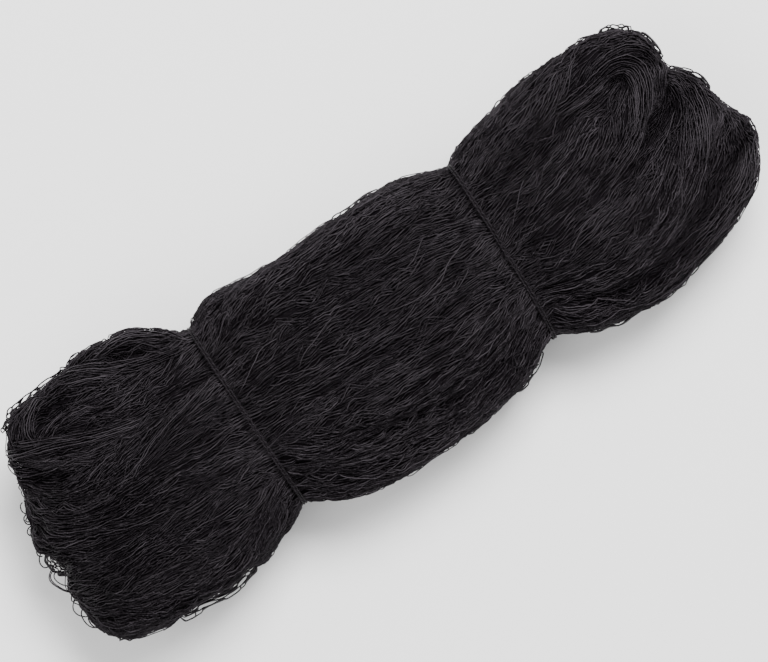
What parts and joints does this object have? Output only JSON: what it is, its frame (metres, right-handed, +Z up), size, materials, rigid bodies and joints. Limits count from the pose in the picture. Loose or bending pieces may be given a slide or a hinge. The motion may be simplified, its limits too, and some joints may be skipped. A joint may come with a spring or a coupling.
{
  "type": "bird netting hank",
  "caption": "Fine black bird netting gathered lengthwise, folded back and forth into a soft lobed hank and bound across its waists with thin cord ties.",
  "frame": {"origin": "middle of the base of the whole hank's bounding box, on the surface that it lies on", "axes": "+X along the hank towards the end whose bights lie in three steps, +Y across it towards the side with the small extra bight, +Z up"},
  "size_m": [0.493, 0.1652, 0.1102],
  "materials": {
    "net": "matt black twisted twine with a soft grey sheen",
    "cord": "matt black laid cord"
  },
  "bodies": {
    "root": {"net_hank": "net", "tie_left": "cord", "tie_right": "cord"}
  },
  "joints": []
}
